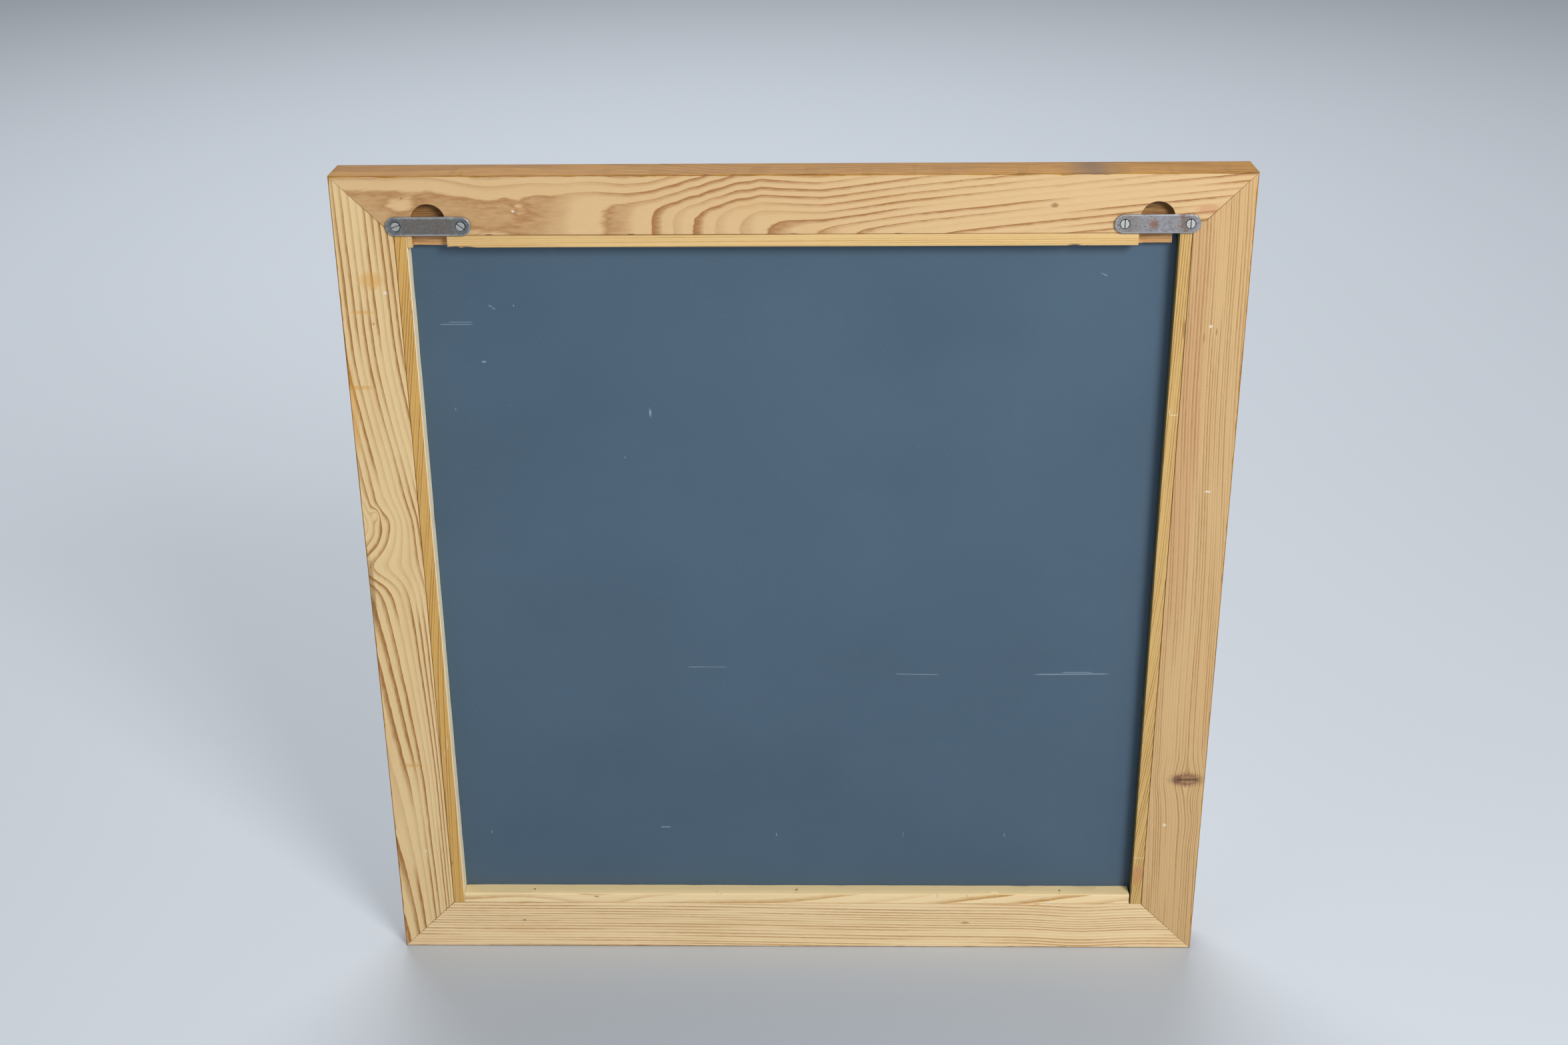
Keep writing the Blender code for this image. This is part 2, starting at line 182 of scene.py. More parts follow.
def place_in_mm(tree):
    """The place on the surface, in millimetres, as (x, y, z) fields."""
    coordinates = tree.nodes.new("ShaderNodeTexCoord")
    split = tree.nodes.new("ShaderNodeSeparateXYZ")
    tree.links.new(coordinates.outputs["Object"], split.inputs[0])
    return [Field(tree, split.outputs[axis]) / MM for axis in range(3)]


def join(tree, x, y, z):
    node = tree.nodes.new("ShaderNodeCombineXYZ")
    for index, value in enumerate((x, y, z)):
        feed(tree, node.inputs[index], value)
    return node.outputs[0]


def cloud(tree, place, detail=2.0, roughness=0.5):
    """Smooth noise around 0.5 at a place given in units of its own grain."""
    node = tree.nodes.new("ShaderNodeTexNoise")
    node.inputs["Scale"].default_value = 1.0
    node.inputs["Detail"].default_value = detail
    node.inputs["Roughness"].default_value = roughness
    feed(tree, node.inputs["Vector"], place)
    return Field(tree, node.outputs["Fac"])


def ramp(field, stops):
    """A grey ramp over 0..1. Each stop is (position, grey)."""
    tree = field.tree
    node = tree.nodes.new("ShaderNodeValToRGB")
    feed(tree, node.inputs[0], field)
    elements = node.color_ramp.elements
    while len(elements) < len(stops):
        elements.new(1.0)
    for element, (position, grey) in zip(elements, stops):
        element.position = position
        element.color = (grey, grey, grey, 1.0)
    return Field(tree, node.outputs["Color"])


def mix(factor, first, second, blend="MIX"):
    """Colours mixed by a field or a plain number."""
    tree = next(value.tree for value in (factor, first, second) if isinstance(value, Field))
    node = tree.nodes.new("ShaderNodeMix")
    node.data_type = "RGBA"
    node.blend_type = blend
    feed(tree, node.inputs[0], factor)
    feed(tree, node.inputs[6], colour_of(first))
    feed(tree, node.inputs[7], colour_of(second))
    return Field(tree, node.outputs[2])


def colour_of(value):
    """A field as it is, or an sRGB colour of 0..255 as linear light."""
    if isinstance(value, Field):
        return value
    return (*[linear(part / 255) for part in value], 1.0)


def linear(part):
    """One part of an sRGB colour, 0..1, as linear light."""
    return ((part + 0.055) / 1.055) ** 2.4 if part > 0.04045 else part / 12.92


def add_bump(shader, height):
    """height is a field in millimetres."""
    tree = height.tree
    node = tree.nodes.new("ShaderNodeBump")
    node.inputs["Distance"].default_value = MM
    feed(tree, node.inputs["Height"], height)
    tree.links.new(node.outputs[0], shader.inputs["Normal"])


# ---------------------------------------------------------------- growth rings of each piece


def top_rail_rings(along, across, depth):
    """Broad flat-sawn patches at one end, nested arches in the middle, long slanting lines after."""
    height = RAIL_WIDTH - across - depth * 0.8
    lower_edge = [
        (-300, 0.04), (-240, -0.02), (-190, 0.02), (-172, 0.14), (-150, 0.30), (-127, 1.0),
        (-108, 1.30), (-92, 2.0), (-87, 2.3), (-78, 3.0), (-73, 3.3), (-66, 3.96), (-60, 4.3),
        (-53, 4.9), (-45, 5.3), (-36, 6.0), (-27, 6.3), (-20, 6.96), (-9, 7.3), (20, 8.3),
        (80, 10.9), (300, 19.0)]
    arch_height = [
        (-300, 35), (-230, 33), (-205, 26), (-190, 25), (-172, 29), (-140, 26), (-100, 19),
        (-60, 14), (-30, 14), (20, 4), (300, -14)]
    spacing = follow(along, [(-300, 3.6), (-200, 6.4), (-100, 6.0), (0, 4.8), (300, 4.5)], 20)
    count = follow(along, lower_edge) - past(height - follow(along, arch_height, 6), 4.0) / spacing
    count = count + step(height / 12.0) * step((along + 176.0) / -12.0) * 0.2
    island = hump((along + 253) / 12.0) * hump((across - 20.0) / 5.0)
    return 0.0 - count + island * 0.22


def right_rail_rings(along, across, depth):
    """Bold bands at the outer edge and fine ones inside, which swirl round a small knot."""
    place = across + depth * 0.6
    base = follow(along, [
        (25, -1.17), (150, 0.68), (229, 1.46), (300, 2.7), (400, 4.6), (436, 5.7), (473, 6.8),
        (600, 7.4)], 12)
    slant = follow(along, [
        (25, 0.10), (150, 0.07), (229, 0.12), (300, 0.13), (420, 0.20), (600, 0.21)], 12)
    bow = follow(along, [
        (25, 0.095), (150, 0.087), (229, 0.05), (300, 0.03), (420, 0.005), (600, 0.005)], 12)
    arch = hump((along - 321.0) / 14.0) * 2.3
    trough = hump((along - 356.0) / 13.0) * 1.7
    rings = base + place * slant + place * place * place * bow * 0.001
    rings = rings + (arch - trough) * hump(across / 26.0)
    toward = along - 361.0
    side = across - 9.5
    core = root(toward * toward * 0.3 + side * side)
    return rings + hump(core / 4.6) * (core * 0.5 - 1.2)


def left_rail_rings(along, across, depth):
    """Fine straight lines that part round a spike knot near the bottom."""
    side = across - KNOT_ACROSS
    bend = hump((along - KNOT_ALONG) / 13.0) * exp(size_of(side) / -16.0) * 6.0
    bend = bend * (side / (size_of(side) + 3.0))
    bulge = hump((along - 112) / 16.0) * exp(size_of(across - 8.0) / -12.0) * 2.2
    place = across + depth * 0.5 + along * -0.03 + sine(along / 40.0) * 0.8 - bend + bulge
    return place / 1.9 + sine(place / 5.0) * 0.5


def bottom_rail_rings(along, across, depth):
    """Pale, fine and nearly straight."""
    bow = hump((along - 215) / 30.0) * 2.4
    place = across + depth * 0.5 + sine(along / 60.0) * 0.5 + bow + along * 0.01
    return place / 2.4 + sine(place / 4.0) * 0.25


def top_bead_rings(along, across, depth):
    """Fine and straight."""
    return (across + depth * 0.4 + along * 0.004) / 1.5


def bottom_bead_rings(along, across, depth):
    """Nearly flat-sawn: an arch over a small swirl, then a few slanting bands on plain wood."""
    arch = hump((along + 150.0) / 34.0) * 9.0
    bands = follow(along, [(-300, 0.0), (-200, 0.6), (-90, 0.9), (0, 1.0), (300, 6.2)], 20)
    return bands - (across + depth * 0.4 + arch) / 9.0


def left_bead_rings(along, across, depth):
    """Fine lines that run out across the bead in its lower half."""
    slant = follow(along, [(0, 0), (300, 45), (600, 52)], 60)
    return (across + depth * 0.5 + slant) / 1.7


def right_bead_rings(along, across, depth):
    """Fine lines that run out across the bead in its upper half."""
    slant = follow(along, [(0, 0), (250, 8), (550, 50)], 40)
    return (across + depth * 0.5 - slant) / 1.8


RAIL_RINGS = {
    "top": top_rail_rings, "bottom": bottom_rail_rings,
    "left": left_rail_rings, "right": right_rail_rings}
BEAD_RINGS = {
    "top": top_bead_rings, "bottom": bottom_bead_rings,
    "left": left_bead_rings, "right": right_bead_rings}


# ---------------------------------------------------------------- wood


def along_and_across(place, side, edge_inset):
    """Millimetres along a rail or bead, across it from its outer edge, and down from its back."""
    x, y, z = place
    depth = BACK_Y / MM - y
    if side == "top":
        return -x, HEIGHT / MM - edge_inset - z, depth
    if side == "bottom":
        return -x, z - edge_inset, depth
    if side == "left":
        return z, x + (HALF_WIDTH / MM - edge_inset), depth
    return z, (HALF_WIDTH / MM - edge_inset) - x, depth


# Where the wood round the hook slots is milled, in millimetres: from a slot's middle, from the
# frame's top edge, and down from the back.
MILLED_HALF_WIDTH = 12.2
MILLED_FROM_TOP = 17.8
MILLED_DEPTHS = (1.2, 7.6)

WOODS = {
    # early, late: colours. start: where in a ring the late wood begins. strength: its contrast.
    # wobble: how wavy the rings are. soft_below, thin_from: places along the piece, in
    # millimetres, past which the late wood is softer or thinner. stain: the place of a dark stain
    # in the lacquer. inner: the colour of a bead's inner face, painted lighter where light falls on
    # it and darker where it is in shade. shade_from: the depth past which that face is painted
    # darker grey as shade. slots: the hook slots cross the piece. marks: see add_marks.
    "top_rail": dict(
        early=(224, 190, 141), late=(172, 122, 76), start=0.69, strength=1.1, wobble=0.14,
        thin_from=-20.0, soft_below=-110.0, stain=195.0, slots=True,
        marks=[
            ("pale", -181.1, 23.6, 1.2, 1.0), ("knot", 170.0, 21.0, 2.6, 1.6),
            ("rose", 270.0, 24.0, 9.0, 3.4), ("wine", 211.0, 4.6, 3.2, 0.5),
            ("wine", 173.0, 8.8, 3.0, 0.5), ("dark", -253.0, 14.6, 1.0, 0.8),
            # These two gum runs along the outer arris are amber lacquer with painted highlight: the
            # glints on that edge.
            ("gum", 20.0, 0.6, 52.0, 1.0), ("gum", -82.0, 0.5, 26.0, 0.9),
            # The dark ticks on the inner arris are painted shade in the chips there.
            ("tick", -198.0, 39.2, 2.6, 0.4), ("tick", -105.0, 39.2, 2.8, 0.4),
            ("tick", 1.0, 39.2, 2.2, 0.3), ("tick", 69.0, 39.2, 2.2, 0.3)]),
    "bottom_rail": dict(
        early=(247, 220, 174), late=(196, 152, 100), start=0.62, strength=1.0, wobble=0.08,
        marks=[
            ("rust", 0.0, 0.2, 292.0, 0.5),
            ("green", -207.5, 24.0, 1.6, 0.9), ("knot", 128.0, 22.5, 3.6, 0.8),
            ("gum", -209.0, 39.2, 2.2, 0.5), ("gum", 150.0, 39.2, 2.0, 0.5),
            ("gum", 182.0, 39.2, 2.2, 0.5)]),
    "left_rail": dict(
        early=(214, 180, 130), late=(168, 124, 76), start=0.56, strength=0.80, wobble=0.10,
        marks=[
            ("pale", 496.6, 23.2, 1.2, 1.3), ("dark", 493.0, 19.0, 3.0, 0.5),
            ("dark", 489.0, 27.0, 4.0, 0.5), ("pale", 109.9, 27.0, 1.3, 1.4),
            ("rust", 541.8, 0.4, 5.0, 0.8), ("dark", 312.0, 0.4, 5.0, 1.0),
            ("wine", 420.0, 33.0, 170.0, 9.0), ("pale", 378.0, 16.0, 0.8, 2.2)]),
    "right_rail": dict(
        early=(235, 206, 154), late=(170, 120, 66), start=0.70, strength=1.15, wobble=0.12,
        marks=[
            ("pale", 85.7, 22.0, 1.1, 1.0), ("pale", 521.3, 30.8, 1.2, 1.3),
            ("dark", 500.0, 21.0, 1.0, 0.7), ("gum", 440.0, 2.0, 34.0, 3.2),
            ("gum", 530.0, 22.0, 6.0, 8.0), ("gum", 455.0, 8.0, 1.6, 9.0),
            ("gum", 508.0, 14.0, 1.2, 9.0), ("gum", 160.0, 18.0, 1.6, 8.0),
            ("dark", 300.0, 2.0, 30.0, 2.0)]),
    "top_bead": dict(
        early=(232, 198, 138), late=(194, 150, 88), start=0.60, strength=0.8, wobble=0.10,
        slots=True,
        marks=[
            # The dark ticks are painted shade in the chips and broken corner along its lower edge.
            ("tick", -227.0, 6.0, 2.6, 0.35), ("tick", -215.0, 7.0, 5.5, 0.3),
            ("tick", 184.0, 6.9, 3.6, 0.3)]),
    "bottom_bead": dict(
        early=(250, 224, 176), late=(200, 152, 86), start=0.74, strength=1.0, wobble=0.12,
        inner=(252, 226, 172),
        marks=[
            ("knot", -151.4, 5.6, 2.2, 0.7), ("tick", -229.3, 9.0, 0.8, 0.6),
            ("tick", -201.0, 9.0, 1.2, 0.6), ("tick", -100.4, 9.0, 0.9, 0.6),
            ("tick", 106.6, 9.0, 0.25, 4.0), ("tick", 129.1, 9.0, 0.2, 4.0),
            ("gum", -204.0, 0.6, 6.0, 0.7), ("pale", 191.0, 0.8, 2.4, 0.6)]),
    "left_bead": dict(
        early=(216, 180, 116), late=(160, 116, 58), start=0.58, strength=0.8, wobble=0.10,
        # Its inner face is painted olive as shade, and darker grey from 3 mm down as deeper painted
        # shade.
        inner=(128, 116, 70), shade_from=3.0,
        marks=[
            ("rose", 66.0, 4.0, 9.0, 5.0), ("scrape", 81.0, 4.0, 0.3, 5.0),
            ("scrape", 434.0, 3.4, 0.4, 3.0), ("scrape", 436.5, 6.2, 1.8, 0.35),
            ("dark", 495.0, 0.8, 7.0, 0.7)]),
    "right_bead": dict(
        early=(218, 174, 100), late=(168, 120, 58), start=0.58, strength=0.9, wobble=0.10,
        # Its inner face is painted pale cream: a painted highlight where the light falls on it.
        inner=(255, 240, 204),
        marks=[
            ("scrape", 178.0, 5.4, 5.0, 0.3), ("scrape", 170.0, 3.0, 3.0, 0.3),
            ("scrape", 517.2, 7.8, 2.2, 0.5), ("dark", 508.4, 7.4, 1.2, 0.5),
            ("dark", 75.0, 1.0, 1.6, 0.6)]),
}
MARK_COLOURS = {
    "pale": (240, 236, 224), "dark": (120, 82, 48), "knot": (122, 80, 44), "wine": (176, 112, 82),
    "gum": (214, 154, 66), "green": (120, 140, 120), "rose": (196, 134, 98), "tick": (92, 66, 42),
    "scrape": (240, 230, 204), "rust": (120, 52, 30)}
MARK_STRENGTH = {
    "pale": 0.62, "dark": 0.55, "knot": 0.6, "wine": 0.22, "gum": 0.45, "green": 0.8, "rose": 0.5,
    "tick": 0.7, "scrape": 0.5, "rust": 0.6}


class Grain:
    """A piece's wood: places in it in millimetres, its rings, and the noises its colours share."""

    def __init__(self, tree, place, rings_of, wobble, seed):
        self.tree = tree
        self.seed = seed
        self.along, self.across, self.depth = place
        self.ripple = self.noise(9.0, 2.4, (0, seed, 0)) - 0.5
        self.fibre = self.noise(7.0, 0.32, (0, seed, 0), roughness=0.6) - 0.5
        self.tone = self.noise(90.0, 13.0, (0, 0, seed))
        self.ragged = (self.noise(1.6, 0.8, (0, seed, 0)) - 0.5) * 1.1
        warp = self.noise(45.0, 14.0, (seed, 0, 0)) - 0.5
        rings = rings_of(self.along, self.across, self.depth)
        self.rings = rings + warp * (wobble * 2.0) + self.ripple * 0.12 + self.fibre * 0.10

    def noise(self, length, width, shift, detail=2.0, roughness=0.5):
        """Noise around 0.5 whose grains have this length along the wood and this width across."""
        place = (self.along / length, self.across / width, self.depth / width)
        moved = [value + more for value, more in zip(place, shift)]
        return cloud(self.tree, join(self.tree, *moved), detail, roughness)


def late_wood(grain, look):
    """0 in the pale early wood, rising through each ring to about 1 in its dark line."""
    start = look["start"]
    late = ramp(grain.rings.math("FRACT"), [
        (0.0, 0.30), (0.035, 0.02), (start - 0.2, 0.06), (start, 0.42), (0.90, 0.72),
        (0.96, 1.0), (1.0, 0.30)])
    year = grain.rings.math("FLOOR") * 7.31 + grain.seed
    year = cloud(grain.tree, join(grain.tree, year, 0.5, grain.along / 110.0), 0.0)
    late = late * least(most(year * 4.0 - 1.1, 0.3), 1.3) * look["strength"]
    late = late * (grain.fibre * 1.3 + 1.0) * (grain.ripple * 0.8 + 1.0)
    if "soft_below" in look:
        late = late * (1.0 - step((look["soft_below"] - grain.along) / 30.0) * 0.42)
    if "thin_from" in look:
        thinned = step((grain.along - look["thin_from"]) / 80.0)
        late = late * (1.0 - thinned * (1.0 - late) * 0.75)
    return late


def fibre_shade(grain):
    """A grey to multiply colours by, streaked along the fibres."""
    return ramp(grain.fibre + 0.5, [(0.0, 0.78), (0.35, 0.94), (0.65, 1.0), (1.0, 1.06)])


def bare_wood(grain, look, late):
    """Dry wood: rings, warmer patches, fibres and short dark resin dashes."""
    warm = mix(step(late), (216, 172, 118), look["late"])
    colour = mix(late, look["early"], look["late"])
    colour = mix(step(grain.tone * 2.6 - 1.1) * 0.30, colour, warm)
    colour = mix(1.0, colour, fibre_shade(grain), "MULTIPLY")
    dashes = grain.noise(3.5, 0.28, (0, grain.seed, 40.0), detail=1.0)
    return mix(step(dashes * 9.0 - 6.6) * 0.35, colour, (140, 96, 54))


def add_marks(colour, marks, grain):
    """Specks, small knots, resin stains, gummy runs and dark ticks, some of which are painted
    highlight or painted shade as noted in WOODS. Each mark is its kind, its middle along and
    across the piece, and its half length and half width, in millimetres."""
    for kind, middle, inset, half_length, half_width in marks:
        x = (grain.along - middle) / half_length
        y = (grain.across - inset) / half_width
        inside = step((1.25 - root(x * x + y * y) + grain.ragged) * 1.4)
        colour = mix(inside * MARK_STRENGTH[kind], colour, MARK_COLOURS[kind])
    return colour


def add_spike_knot(colour, grain):
    """The left rail's knot: a long oval across the grain, brown inside a dark, ragged rim, with a
    crack along its middle and dark bark at its inner end."""
    ragged = grain.ragged
    x = (grain.along - KNOT_ALONG) / 4.2
    y = (grain.across - KNOT_ACROSS) / 9.0
    reach = root(x * x + y * y) + ragged * 1.3
    browned = ramp(reach * 0.5, [
        (0.0, 0.55), (0.30, 0.62), (0.44, 1.0), (0.56, 0.5), (0.85, 0.0)])
    colour = mix(browned * 0.8, colour, (118, 76, 60))
    crack = step((0.34 - size_of(x + ragged * 1.2)) * 5.0) * step((0.95 - size_of(y)) * 4.0)
    colour = mix(crack * 0.7, colour, (70, 44, 40))
    bark = step((1.1 - root(x * x + (y - 0.8) * (y - 0.8) * 6.0) + ragged) * 2.0)
    return mix(bark * 0.45, colour, (92, 60, 50))


def add_milled_shade(colour, grain, edge_inset):
    """Darker browns on the floors and walls of the milled hook slots: painted shade in the recess,
    over a warmer tint of the milled wood.
    """
    tree, depth = grain.tree, grain.depth
    from_edge = grain.across + edge_inset
    low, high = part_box("right_hanger_plate")
    slot_middle = (low[0] + high[0]) / 2 / MM
    beside = size_of(size_of(grain.along) - slot_middle)
    slot_shade_mask = step((MILLED_HALF_WIDTH - beside) * 3.0) * step((from_edge - MILLED_FROM_TOP) * 3.0)
    shallow, deep = MILLED_DEPTHS
    slot_shade_mask = slot_shade_mask * step((depth - shallow) * 2.0) * step((deep - depth) * 3.0)
    band = cloud(tree, join(tree, grain.along / 20.0, from_edge / 1.6, 2.0))
    banded = step(band * 3.0 - 1.0)
    # Painted shade in the milled recess: darker browns over a warmer tint, banded along the grain.
    brown = mix(banded, (172, 128, 74), (112, 76, 40))
    brown = mix(step(grain.fibre * 2.0 + 0.1) * 0.4, brown, (196, 154, 98))
    in_bead = step((from_edge - JOINT) * 3.0)
    brown = mix(in_bead, brown, mix(banded, (214, 166, 114), (184, 132, 84)))
    return mix(slot_shade_mask * 0.85, colour, brown)


def add_inner_face(colour, grain, look):
    """A bead's inner side in its own set colour, painted lighter where lit and darker where in shade,
    and where the bead says so, painted a darker grey shade deep down.
    """
    # Painted light and shade on the inner face; deeper down, a darker painted shade.
    lit_or_shaded = mix(fibre_shade(grain), (150, 112, 60), look["inner"])
    if "shade_from" in look:
        deep_shade = step((grain.depth - look["shade_from"]) / 3.0)
        lit_or_shaded = mix(deep_shade * 0.8, lit_or_shaded, (52, 60, 58))
    return mix(step((grain.across - 7.75) * 4.0), colour, lit_or_shaded)


def lacquer_mask(grain):
    """1 where the rails' lacquer is: the outer faces, the front and a thin run over the arris."""
    bleed = cloud(grain.tree, join(grain.tree, grain.along / 14.0, grain.seed, 0.0), 3.0)
    reach = past(bleed * 3.0 - 1.5, 0.2) + 0.7
    outside = step((reach - grain.across) * 2.0 + 0.5)
    return most(outside, step(grain.depth - 20.0))


def lacquered_wood(grain, look, late):
    """Honey-brown lacquer that brings out dark streaks of the grain."""
    varnish = mix(late * 0.5 + grain.tone * 0.5, (188, 138, 60), (134, 90, 34))
    lines = grain.noise(26.0, 0.8, (grain.seed, 0, 0), 3.0, 0.65)
    varnish = mix(step(lines * 4.0 - 1.7) * 0.6, varnish, (116, 74, 34))
    if "stain" in look:
        stained = hump((grain.along - look["stain"] + grain.ragged * 14.0) / 13.0)
        varnish = mix(stained * 0.7, varnish, (104, 84, 72))
    return varnish


def wood_material(name, side, edge_inset, rings_of, seed):
    """The pine of one rail or bead, bare on the back and lacquered outside."""
    look = WOODS[name]
    material, tree, shader = new_material(f"{name}_pine")
    place = along_and_across(place_in_mm(tree), side, edge_inset)
    grain = Grain(tree, place, rings_of, look["wobble"], seed)
    late = late_wood(grain, look)
    colour = add_marks(bare_wood(grain, look, late), look["marks"], grain)
    rough = grain.fibre * 0.25 + 0.62 - late * 0.06
    if name == "left_rail":
        colour = add_spike_knot(colour, grain)
    if "slots" in look:
        colour = add_milled_shade(colour, grain, edge_inset)
    if "inner" in look:
        colour = add_inner_face(colour, grain, look)
    if name.endswith("_rail"):
        lacquer = lacquer_mask(grain)
        colour = mix(lacquer, colour, lacquered_wood(grain, look, late))
        rough = rough - lacquer * 0.12
    feed(tree, shader.inputs["Base Color"], colour)
    feed(tree, shader.inputs["Roughness"], rough)
    shader.inputs["Specular IOR Level"].default_value = 0.15
    add_bump(shader, late * 0.05 + grain.fibre * 0.10)
    return material


# ---------------------------------------------------------------- pieces


# Edges that turn by more than this stay sharp, in degrees.
SHARP_WOOD = 28
SHARP_PLATE = 35
SHARP_SCREW = 40

FACES_BACK = 0.9999  # the least part of a face's normal along +Y that makes it a flat back face
CUT_PITCH = 2.5 * MM  # between the cuts across a rail or bead
RAIL_WEAR = 0.35 * MM
BEAD_WEAR = 0.40 * MM


def linked(name, data):
    """A new object with this data, in the scene."""
    made = bpy.data.objects.new(name, data)
    bpy.context.scene.collection.objects.link(made)
    return made


def mesh_object(name, bm):
    """A new object with the shape of a bmesh, which is freed."""
    mesh = bpy.data.meshes.new(name)
    bm.to_mesh(mesh)
    bm.free()
    return linked(name, mesh)


def stand_in(piece, node):
    """Puts a new piece under the root body and hides the CAD node it stands in for."""
    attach(piece, "root")
    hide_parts(node)


def refined(node, suffix):
    """A working copy of a CAD node, with its split corners joined, that stands in for the node."""
    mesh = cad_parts[node].data.copy()
    mesh.materials.clear()
    bm = bmesh.new()
    bm.from_mesh(mesh)
    bmesh.ops.remove_doubles(bm, verts=bm.verts, dist=1e-6)
    bm.to_mesh(mesh)
    bm.free()
    piece = linked(f"{node}_{suffix}", mesh)
    stand_in(piece, node)
    return piece


def shade(piece, degrees):
    """Rounds shaded smooth; the flat faces that look back stay flat."""
    piece.data.shade_smooth()
    piece.data.set_sharp_from_angle(angle=math.radians(degrees))
    for face in piece.data.polygons:
        if face.normal.y > FACES_BACK:
            face.use_smooth = False


def cut_across(bm, axis):
    """Divides a long piece by planes square to its length."""
    places = [vert.co[axis] for vert in bm.verts]
    low, high = min(places), max(places)
    normal = Vector((axis == 0, axis == 1, axis == 2))
    steps = int((high - low) / CUT_PITCH)
    for index in range(1, steps):
        at = low + index * (high - low) / steps
        geometry = bm.verts[:] + bm.edges[:] + bm.faces[:]
        bmesh.ops.bisect_plane(bm, geom=geometry, dist=1e-7, plane_co=normal * at, plane_no=normal)


def is_arris(edge, axis):
    """Whether an edge runs straight along the piece, between two faces that meet at an angle."""
    run = edge.verts[1].co - edge.verts[0].co
    lengthwise = run.length > 1e-6 and abs(run[axis]) > 0.9999 * run.length
    return lengthwise and edge.calc_face_angle(0.0) >= math.radians(20)


def wear_arrises(bm, axis, amount, seed):
    """Rubs the long edges back unevenly, each within the plane of its back or front face."""
    moves = {}
    for edge in bm.edges:
        if not is_arris(edge, axis):
            continue
        side, flat = sorted(edge.link_faces, key=lambda face: abs(face.normal.y))
        inward = -(side.normal + flat.normal)
        inward -= flat.normal * inward.dot(flat.normal)
        if inward.length > 1e-6:
            for vert in edge.verts:
                moves[vert] = inward.normalized()
    for vert, inward in moves.items():
        slow = noise.noise(vert.co * 60 + Vector((seed, 0, 0)))
        quick = noise.noise(vert.co * 300 + Vector((0, seed, 0)))
        rub = 0.25 + 0.9 * max(0.0, slow) + 0.5 * max(0.0, quick) ** 2
        vert.co += inward * amount * rub


# Small splinters missing along the arrises. Each is its middle as seen from the back, right of
# the frame's middle, up, and in, then its half sizes across, in and up, all in millimetres.
JOINT_UP = HEIGHT / MM - JOINT
BEAD_END_UP = HEIGHT / MM - BEAD_END
SMALL = (3.4, 0.9, 0.8)
UPRIGHT = (0.5, 0.6, 2.6)
CHIPS = {
    "top_rail": [
        (-198, JOINT_UP, 0, SMALL), (-105, JOINT_UP, 0, SMALL), (1, JOINT_UP, 0, SMALL),
        (69, JOINT_UP, 0, SMALL), (-215, 600, 0, (2.0, 1.2, 0.8))],
    "left_rail": [
        (260.3, 525, 0, UPRIGHT), (260.3, 300, 0, UPRIGHT), (300, 312, 0, (0.8, 0.9, 4.0)),
        (300, 537, 0, (0.7, 1.0, 5.0)), (300, 528, 0, (0.6, 0.8, 2.0))],
    "right_rail": [(-260.2, 75.7, 0, UPRIGHT), (-300, 402, 0, (0.7, 0.8, 4.5))],
    "bottom_rail": [(40, 39.7, 0, SMALL), (-120, 39.7, 0, SMALL)],
    "top_bead": [
        (-221, BEAD_END_UP, 1.0, (4.8, 3.2, 1.5)), (-212, BEAD_END_UP, 0.6, (5.5, 2.0, 1.1)),
        (-226, BEAD_END_UP, 2.0, (2.0, 3.0, 1.6)), (184, BEAD_END_UP, 0.5, (5.0, 1.8, 1.2)),
        (193, BEAD_END_UP, 0.5, (3.0, 1.0, 0.6))],
    "left_bead": [(251.9, 508, 0.3, UPRIGHT), (252, 350, 0.2, UPRIGHT)],
    "right_bead": [(-251.9, 516, 0.2, (0.6, 0.8, 3.0)), (-252, 292, 0.2, UPRIGHT)],
    "bottom_bead": [(-60, 48, 0.2, SMALL), (150, 48.1, 0.2, SMALL)],
}


def chip_cutter(chip, seed):
    """An irregular lump, to be cut out of an edge."""
    right, up, inward, half_sizes = chip
    middle = Vector((-right * MM, BACK_Y - inward * MM, up * MM))
    bm = bmesh.new()
    bmesh.ops.create_icosphere(bm, subdivisions=2, radius=1.0)
    for vert in bm.verts:
        bumpy = 1.0 + 0.45 * noise.noise(vert.co * 1.7 + Vector((seed, seed * 2.3, 0)))
        lump = [part * half * MM * bumpy for part, half in zip(vert.co, half_sizes)]
        vert.co = middle + Vector(lump)
    return mesh_object("chip", bm)


def cut_chips(piece, chips):
    cutters = [chip_cutter(chip, number * 1.9 + 0.4) for number, chip in enumerate(chips)]
    for cutter in cutters:
        boolean = piece.modifiers.new("chip", "BOOLEAN")
        boolean.operation = "DIFFERENCE"
        boolean.object = cutter
    apply_modifiers(piece)
    for cutter in cutters:
        mesh = cutter.data
        bpy.data.objects.remove(cutter, do_unlink=True)
        bpy.data.meshes.remove(mesh)


def apply_modifiers(piece):
    bpy.context.view_layer.update()
    evaluated = piece.evaluated_get(bpy.context.evaluated_depsgraph_get())
    result = bpy.data.meshes.new_from_object(evaluated)
    piece.modifiers.clear()
    old = piece.data
    piece.data = result
    bpy.data.meshes.remove(old)


def make_worn(name, side, wear, seed):
    """A rail or bead with chips out of its edges and rubbed arrises. Its material comes later."""
    axis = 0 if side in ("top", "bottom") else 2
    piece = refined(name, "worn")
    cut_chips(piece, CHIPS[name])
    bm = bmesh.new()
    bm.from_mesh(piece.data)
    bmesh.ops.dissolve_limit(
        bm, angle_limit=math.radians(0.2), use_dissolve_boundaries=False,
        verts=bm.verts, edges=bm.edges)
    cut_across(bm, axis)
    wear_arrises(bm, axis, wear, seed)
    bm.to_mesh(piece.data)
    bm.free()
    return piece


